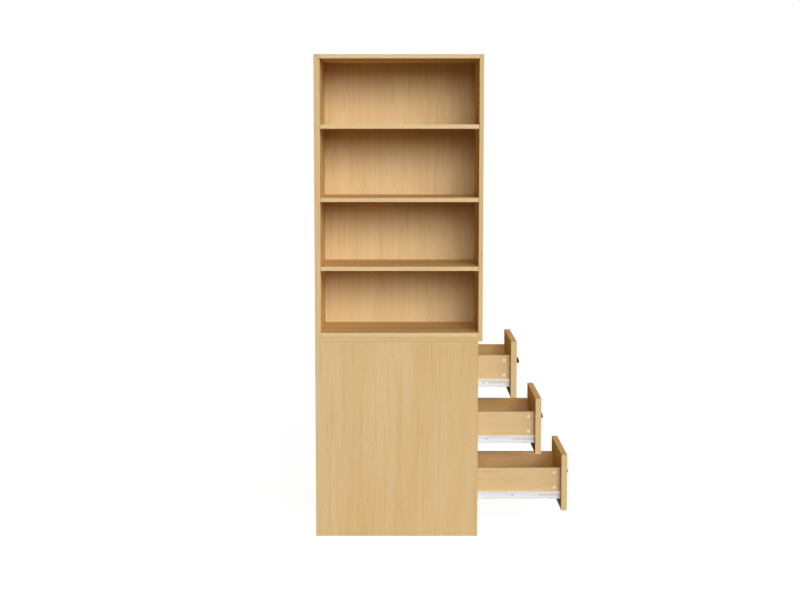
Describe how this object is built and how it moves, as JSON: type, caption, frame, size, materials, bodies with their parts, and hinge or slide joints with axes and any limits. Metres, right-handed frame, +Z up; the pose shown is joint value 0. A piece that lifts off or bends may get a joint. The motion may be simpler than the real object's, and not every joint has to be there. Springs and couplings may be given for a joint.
{
  "type": "bookcase with side-opening bottom drawers",
  "caption": "Tall open bookcase with loose shelves, standing on a chest whose drawers slide out sideways on roller runners.",
  "frame": {"origin": "on the floor at the wall line, midway across the chest without its drawer fronts", "axes": "+X the way the drawers open, -Y the open front of the bookcase, +Z up"},
  "size_m": [0.9725, 0.35, 1.806],
  "materials": {
    "oak_upright": "matt oak-look melamine, grain up the board",
    "oak_lengthwise": "matt oak-look melamine, grain along the width of the bookcase",
    "oak_crosswise": "matt oak-look melamine, grain from front to wall",
    "beech": "plain beech",
    "zinc_steel": "zinc plated",
    "white_steel": "white epoxy coat",
    "nylon": "moulded nylon",
    "pale_plastic": "moulded",
    "black_enamel": "satin black"
  },
  "bodies": {
    "carcass": {"bookcase_back": "oak_upright", "bookcase_bottom": "oak_lengthwise", "bookcase_left_side": "oak_upright", "bookcase_right_side": "oak_upright", "bookcase_top": "oak_lengthwise", "cabinet_runner_screws": "zinc_steel", "cabinet_runners_left": "white_steel", "cabinet_runners_right": "white_steel", "carcass_cam_bolts": "zinc_steel", "carcass_cams": "zinc_steel", "carcass_dowels": "beech", "chest_bottom": "oak_lengthwise", "chest_end_panel": "oak_upright", "chest_face_panel": "oak_upright", "chest_plinth": "oak_crosswise", "chest_rear_panel": "oak_upright", "chest_top": "oak_lengthwise", "shelf_1": "oak_lengthwise", "shelf_2": "oak_lengthwise", "shelf_3": "oak_lengthwise", "shelf_supports": "zinc_steel", "unit_joining_screws": "zinc_steel"},
    "drawer_1": {"drawer_1_back": "oak_crosswise", "drawer_1_bottom": "oak_lengthwise", "drawer_1_cam_caps": "pale_plastic", "drawer_1_fasteners": "zinc_steel", "drawer_1_front": "oak_upright", "drawer_1_left_runner": "white_steel", "drawer_1_left_side": "oak_lengthwise", "drawer_1_pull": "black_enamel", "drawer_1_right_runner": "white_steel", "drawer_1_right_side": "oak_lengthwise"},
    "drawer_1_rollers": {"drawer_1_rollers": "nylon"},
    "cabinet_rollers_1": {"cabinet_rollers_1": "nylon"},
    "drawer_2": {"drawer_2_back": "oak_crosswise", "drawer_2_bottom": "oak_lengthwise", "drawer_2_cam_caps": "pale_plastic", "drawer_2_fasteners": "zinc_steel", "drawer_2_front": "oak_upright", "drawer_2_left_runner": "white_steel", "drawer_2_left_side": "oak_lengthwise", "drawer_2_pull": "black_enamel", "drawer_2_right_runner": "white_steel", "drawer_2_right_side": "oak_lengthwise"},
    "drawer_2_rollers": {"drawer_2_rollers": "nylon"},
    "cabinet_rollers_2": {"cabinet_rollers_2": "nylon"},
    "drawer_3": {"drawer_3_back": "oak_crosswise", "drawer_3_bottom": "oak_lengthwise", "drawer_3_cam_caps": "pale_plastic", "drawer_3_fasteners": "zinc_steel", "drawer_3_front": "oak_upright", "drawer_3_left_runner": "white_steel", "drawer_3_left_side": "oak_lengthwise", "drawer_3_pull": "black_enamel", "drawer_3_right_runner": "white_steel", "drawer_3_right_side": "oak_lengthwise"},
    "drawer_3_rollers": {"drawer_3_rollers": "nylon"},
    "cabinet_rollers_3": {"cabinet_rollers_3": "nylon"}
  },
  "joints": [
    {"name": "drawer_1_slide", "type": "slide", "parent": "carcass", "child": "drawer_1", "axis": [1, 0, 0], "range_m": [-0.1215, 0.3085]},
    {"name": "drawer_2_slide", "type": "slide", "parent": "carcass", "child": "drawer_2", "axis": [1, 0, 0], "range_m": [-0.2155, 0.2145]},
    {"name": "drawer_3_slide", "type": "slide", "parent": "carcass", "child": "drawer_3", "axis": [1, 0, 0], "range_m": [-0.3155, 0.1145]},
    {"name": "cabinet_rollers_1_spin", "type": "hinge", "parent": "carcass", "child": "cabinet_rollers_1", "pos_m": [0.291, -0.175, 0.5873], "axis": [0, 1, 0], "range_deg": [-775, 1965]},
    {"name": "drawer_1_rollers_spin", "type": "hinge", "parent": "drawer_1", "child": "drawer_1_rollers", "pos_m": [-0.1105, -0.175, 0.5818], "axis": [0, 1, 0], "range_deg": [-775, 1965]},
    {"name": "cabinet_rollers_2_spin", "type": "hinge", "parent": "carcass", "child": "cabinet_rollers_2", "pos_m": [0.291, -0.175, 0.3718], "axis": [0, 1, 0], "range_deg": [-1373, 1367]},
    {"name": "drawer_2_rollers_spin", "type": "hinge", "parent": "drawer_2", "child": "drawer_2_rollers", "pos_m": [-0.0165, -0.175, 0.3663], "axis": [0, 1, 0], "range_deg": [-1373, 1367]},
    {"name": "cabinet_rollers_3_spin", "type": "hinge", "parent": "carcass", "child": "cabinet_rollers_3", "pos_m": [0.291, -0.175, 0.1563], "axis": [0, 1, 0], "range_deg": [-2010, 730]},
    {"name": "drawer_3_rollers_spin", "type": "hinge", "parent": "drawer_3", "child": "drawer_3_rollers", "pos_m": [0.0835, -0.175, 0.1508], "axis": [0, 1, 0], "range_deg": [-2010, 730]}
  ],
  "couplings": [
    {"joint": "cabinet_rollers_1_spin", "follows": "drawer_1_slide", "rad_per_m": 111.11},
    {"joint": "drawer_1_rollers_spin", "follows": "drawer_1_slide", "rad_per_m": 111.11},
    {"joint": "cabinet_rollers_2_spin", "follows": "drawer_2_slide", "rad_per_m": 111.11},
    {"joint": "drawer_2_rollers_spin", "follows": "drawer_2_slide", "rad_per_m": 111.11},
    {"joint": "cabinet_rollers_3_spin", "follows": "drawer_3_slide", "rad_per_m": 111.11},
    {"joint": "drawer_3_rollers_spin", "follows": "drawer_3_slide", "rad_per_m": 111.11}
  ]
}
